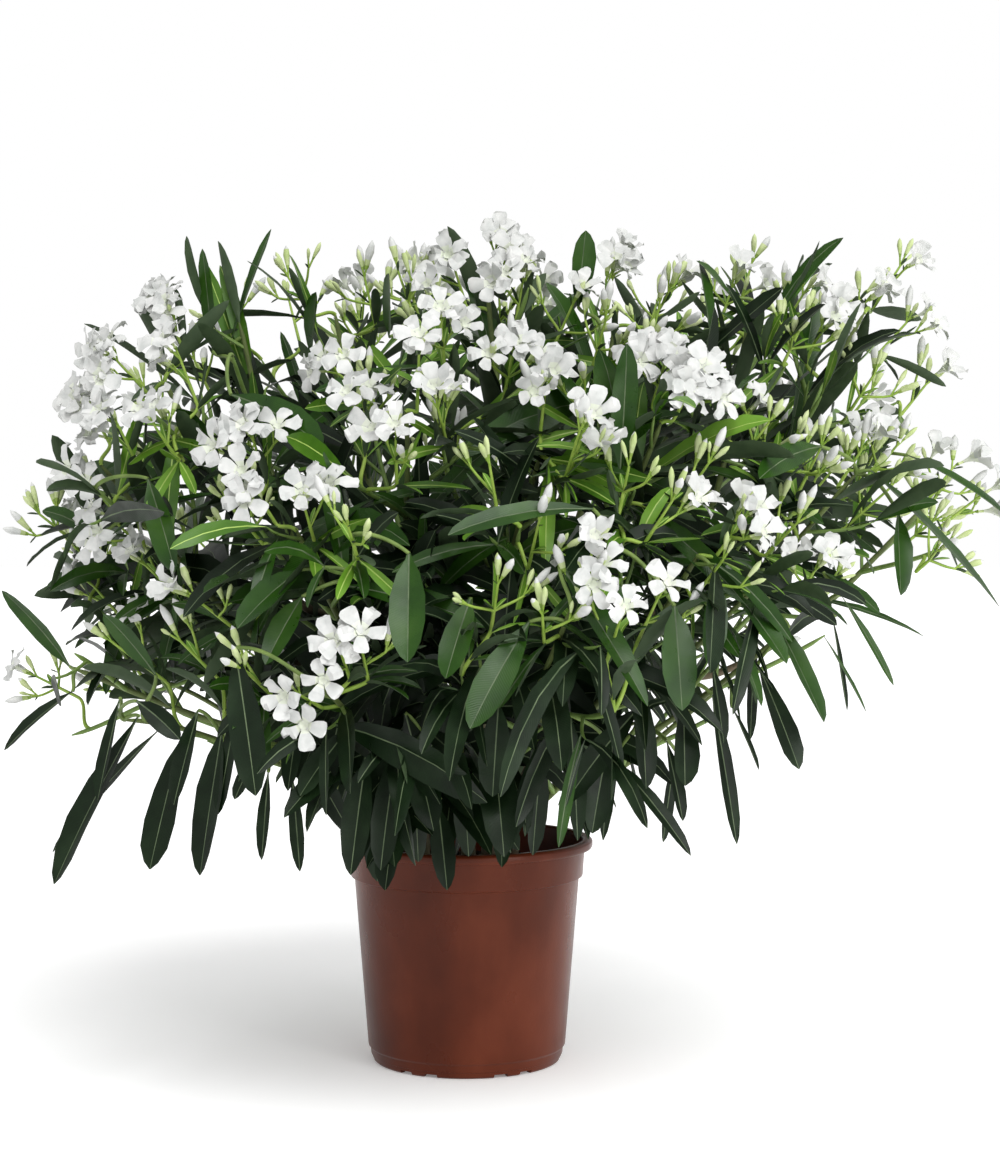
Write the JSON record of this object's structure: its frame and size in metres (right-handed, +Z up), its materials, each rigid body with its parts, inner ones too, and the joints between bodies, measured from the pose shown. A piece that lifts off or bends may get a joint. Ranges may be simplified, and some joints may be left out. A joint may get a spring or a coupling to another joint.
{
  "type": "potted oleander",
  "caption": "White-flowered oleander shrub in a round brown plastic nursery pot; its stems rise from the soil and fork into boughs that carry leafy, flowering masses.",
  "frame": {"origin": "the middle of the pot's flat underside, on the surface that the pot stands on", "axes": "+Z up; -Y towards the front of the plant; +X to the right seen from the front, along the crown's greatest width"},
  "size_m": [0.9922, 0.913, 0.8344],
  "materials": {
    "pot_plastic": "satin moulded plastic, terracotta brown",
    "soil": "dark moist potting mix",
    "bark": "smooth grey-brown bark, greener towards the tips",
    "foliage": "satin dark green leaves, with white blossom at the shoot tips"
  },
  "bodies": {
    "root": {"bough_back_high": "bark", "bough_front_left_mid": "bark", "bough_front_right_mid": "bark", "bough_left_high": "bark", "bough_left_low": "bark", "bough_left_upper": "bark", "bough_right_corner": "bark", "bough_right_side": "bark", "bough_top_left": "bark", "bough_top_right": "bark", "foliage_back_centre_low": "foliage", "foliage_back_high": "foliage", "foliage_back_left_high": "foliage", "foliage_back_left_mid": "foliage", "foliage_back_mid": "foliage", "foliage_back_right_high": "foliage", "foliage_back_right_mid": "foliage", "foliage_front_high": "foliage", "foliage_front_left_high": "foliage", "foliage_front_left_low": "foliage", "foliage_front_left_mid": "foliage", "foliage_front_low": "foliage", "foliage_front_right_high": "foliage", "foliage_front_right_mid": "foliage", "foliage_inner_back": "foliage", "foliage_inner_front": "foliage", "foliage_inner_left": "foliage", "foliage_inner_right": "foliage", "foliage_left_back": "foliage", "foliage_left_high": "foliage", "foliage_left_leafy": "foliage", "foliage_left_low": "foliage", "foliage_left_upper": "foliage", "foliage_right_corner": "foliage", "foliage_right_front": "foliage", "foliage_right_front_low": "foliage", "foliage_right_side": "foliage", "foliage_right_top": "foliage", "foliage_skirt_back": "foliage", "foliage_skirt_back_left": "foliage", "foliage_skirt_back_right": "foliage", "foliage_skirt_centre": "foliage", "foliage_skirt_far_left": "foliage", "foliage_skirt_far_right": "foliage", "foliage_skirt_left": "foliage", "foliage_skirt_left_back": "foliage", "foliage_skirt_right": "foliage", "foliage_top": "foliage", "foliage_top_left": "foliage", "foliage_top_right": "foliage", "pot": "pot_plastic", "soil": "soil", "stem_back_left": "bark", "stem_back_right": "bark", "stem_centre": "bark", "stem_front_left": "bark", "stem_front_right": "bark", "stem_left": "bark", "stem_right": "bark"}
  },
  "joints": []
}
